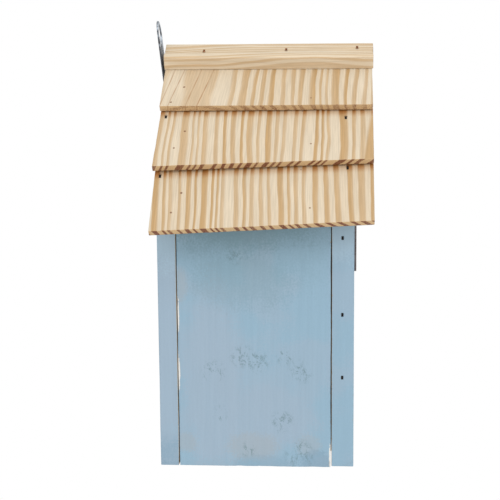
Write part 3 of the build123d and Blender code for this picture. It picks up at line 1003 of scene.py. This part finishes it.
# ---- metals --------------------------------------------------------------------------------------
def metals():
    # each has its base and darker colours, its spots per mm, its roughness and its seed
    brad_steel = steel("brad_steel", colour(44, 40, 38), colour(24, 22, 21), 0.6, 0.55, 3.0)
    nail_steel = steel("nail_steel", colour(74, 74, 74), colour(36, 33, 31), 0.5, 0.5, 9.0)
    rust_steel = steel("rust_steel", colour(176, 120, 80), colour(92, 60, 42), 0.6, 0.6, 3.0)
    # the guard is darker in its lower part
    guard_metal = steel("guard_metal", colour(132, 122, 120), colour(92, 82, 80), 0.08, 0.40, 5.0,
                        dark_below=(116.0, 130.0))
    # the hanger plate is painted dark below its eye, as painted shade
    zinc = steel("hanger_zinc", colour(186, 196, 206), colour(30, 26, 26), 0.22, 0.38, 1.0,
                 dark_below=(242.0, 250.0))
    screw_steel = steel("screw_steel", colour(150, 150, 148), colour(70, 62, 56), 0.4, 0.36, 7.0)
    for node in ("roof_left_brads", "roof_right_brads", "front_edge_brads"):
        softened(node, node + "_set", "house", "brad_steel", brad_steel, 0.15)
    for node in ("ridge_cap_left_brads", "ridge_cap_right_brads"):
        softened(node, node + "_set", "house", "brad_steel", rust_steel, 0.3)
    for node in ("side_wall_nails", "floor_nails", "door_pivot_nails", "entrance_guard_pins"):
        softened(node, node + "_set", "house", "nail_steel", nail_steel, 0.2)
    softened("entrance_guard", "entrance_guard_plate", "house", "guard_metal", guard_metal, 0.3)
    softened("hanger_plate", "hanger_plate_bent", "house", "hanger_steel", zinc, 0.18)
    softened("hanger_screws", "hanger_screw_pair", "house", "screw_steel", screw_steel, 0.15)


# ---- the nest box --------------------------------------------------------------------------------
# weathering of the door, and painted shade below the eave, by distance from its back edge and its
# foot
DOOR_PATCHES = (
    (20, 50, 17, 56, GREY_BLUE, 0.9),
    (52, 30, 26, 20, GREY_BLUE, 0.85),
    # the next three patches are painted shade below the eave
    (44, 152, 48, 50, EAVE_SHADE_GREY, 0.20),
    (38, 154, 46, 25, EAVE_SHADE_GREY, 0.62),
    (36, 110, 28, 16, EAVE_SHADE_GREY, 0.22),
    (43, 12, 15, 8, WARM_GREY, 0.65),
    (4, 14, 6, 6, WARM_GREY, 0.6),
    (75, 13, 7, 6, WARM_GREY, 0.5),
    (1, 108, 5, 10, WARM_GREY, 0.6),
    (80, 3, 9, 7, DEEP_BLUE, 0.45),
    (50, 2, 16, 5, DEEP_BLUE, 0.25),
)
DOOR_SCUFFS = (
    (37, 66, 9), (46, 63, 9), (20, 57, 9), (62, 66, 7), (71, 57, 9), (24, 32, 6), (40, 10, 6),
    (33, 124, 6), (60, 27, 9), (70, 8, 12),
)
# pale worn arrises on the door's back edge, painted near white as a painted highlight for the lit
# gap
DOOR_WORN_LIT = ((0, 91, 10), (0, 56, 10), (88, 6, 8))
# the same for the back board and the front stave beside the door, from their edges on its side,
# with painted light just below the eave
BACK_PATCHES = (
    (0, 6, 6, 14, DEEP_BLUE, 0.5),
    (0, 80, 8, 70, GREY_BLUE, 0.9),
    (70, 30, 40, 30, GREY_BLUE, 0.6),
    # painted light just below the eave
    (0, 152, 3, 32, PAINTED_LIGHT_BLUE, 0.9),
)
# painted light just below the eave
STAVE_PATCHES = ((0, 152, 3, 28, PAINTED_LIGHT_BLUE, 0.8),)


def roof():
    left_brads = heads("roof_left_brads", roof_axes("roof_left_top", -1)[2])
    right_brads = heads("roof_right_brads", roof_axes("roof_right_top", 1)[2])
    roof_board("roof_left_top", -1, 1, (24, -34), 4.4, lean=0.13, end_force=0.6, speckle=1.8,
               calm=40.0, veins=((8, 0.06), (14, 0.08), (24, 0.08), (32, 0.12)))
    roof_board("roof_left_middle", -1, 2, (200, -90), 4.2, "roof_left_top", left_brads, lean=0.03,
               wedge=(124.0, 0.13))
    roof_board("roof_left_eave", -1, 3, (180, 70), 4.2, "roof_left_middle", left_brads)
    roof_board("roof_right_top", 1, 4, (80, -40), 4.8)
    roof_board("roof_right_middle", 1, 5, (-40, -60), 4.4, "roof_right_top", right_brads)
    roof_board("roof_right_eave", 1, 6, (60, -24), 5.4, "roof_right_middle", right_brads)
    cap_strip("ridge_cap_left", 7, heads("ridge_cap_left_brads", Z - X))
    cap_strip("ridge_cap_right", 8, heads("ridge_cap_right_brads", Z + X))


def walls():
    edge_marks = heads("front_edge_brads", -X)
    low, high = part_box("entrance_guard")
    drill(gable_board("front_centre_board", -Y, 9), (low + high) / 2)
    gable_board("back_board", Y, 10, patches=BACK_PATCHES)
    stave("front_left_stave", 11, marks=edge_marks, patches=STAVE_PATCHES)
    stave("front_right_stave", 12, marks=edge_marks)
    side_board("fixed_side", "house", 1, 13)
    side_board("side_door", "door", -1, 14, patches=DOOR_PATCHES, scuffs=DOOR_SCUFFS,
               worn=DOOR_WORN_LIT)
    floor_board("floor_board", 15)


# ---- set -----------------------------------------------------------------------------------------
def studio():
    """Even white on all sides, and a soft light from high on the door's side."""
    world = bpy.data.worlds.new("studio_sky")
    world.use_nodes = True
    sky = world.node_tree.nodes["Background"]
    sky.inputs["Color"].default_value = (1.0, 1.0, 1.0, 1.0)
    sky.inputs["Strength"].default_value = 1.0
    bpy.context.scene.world = world
    bpy.context.scene.view_settings.view_transform = "Standard"
    lamp = bpy.data.lights.new("key", "SUN")
    lamp.energy = 0.95
    lamp.angle = math.radians(35)
    light = bpy.data.objects.new("key", lamp)
    bpy.context.scene.collection.objects.link(light)
    shine = Vector((0.64, 0.14, -0.76))
    light.rotation_euler = shine.to_track_quat("-Z", "Y").to_euler()


def camera():
    """Looks along +X at the door's side, a little down and a little towards the back."""
    eye_at = (-0.8227, -0.0447, 0.2566)
    yaw, pitch, roll = (math.radians(degrees) for degrees in (3.806, 9.641, -0.466))
    level_ahead = X * math.cos(yaw) + Y * math.sin(yaw)
    ahead = level_ahead * math.cos(pitch) - Z * math.sin(pitch)
    level = X * math.sin(yaw) - Y * math.cos(yaw)
    above = level.cross(ahead)
    right = level * math.cos(roll) + above * math.sin(roll)
    up = above * math.cos(roll) - level * math.sin(roll)
    lens = bpy.data.cameras.new("camera")
    lens.lens = 96.72
    lens.sensor_width = 36.0
    eye = bpy.data.objects.new("camera", lens)
    bpy.context.scene.collection.objects.link(eye)
    turned = Matrix((right, up, -ahead)).transposed().to_4x4()
    eye.matrix_world = Matrix.Translation(eye_at) @ turned
    bpy.context.scene.camera = eye


roof()
walls()
metals()
studio()
camera()
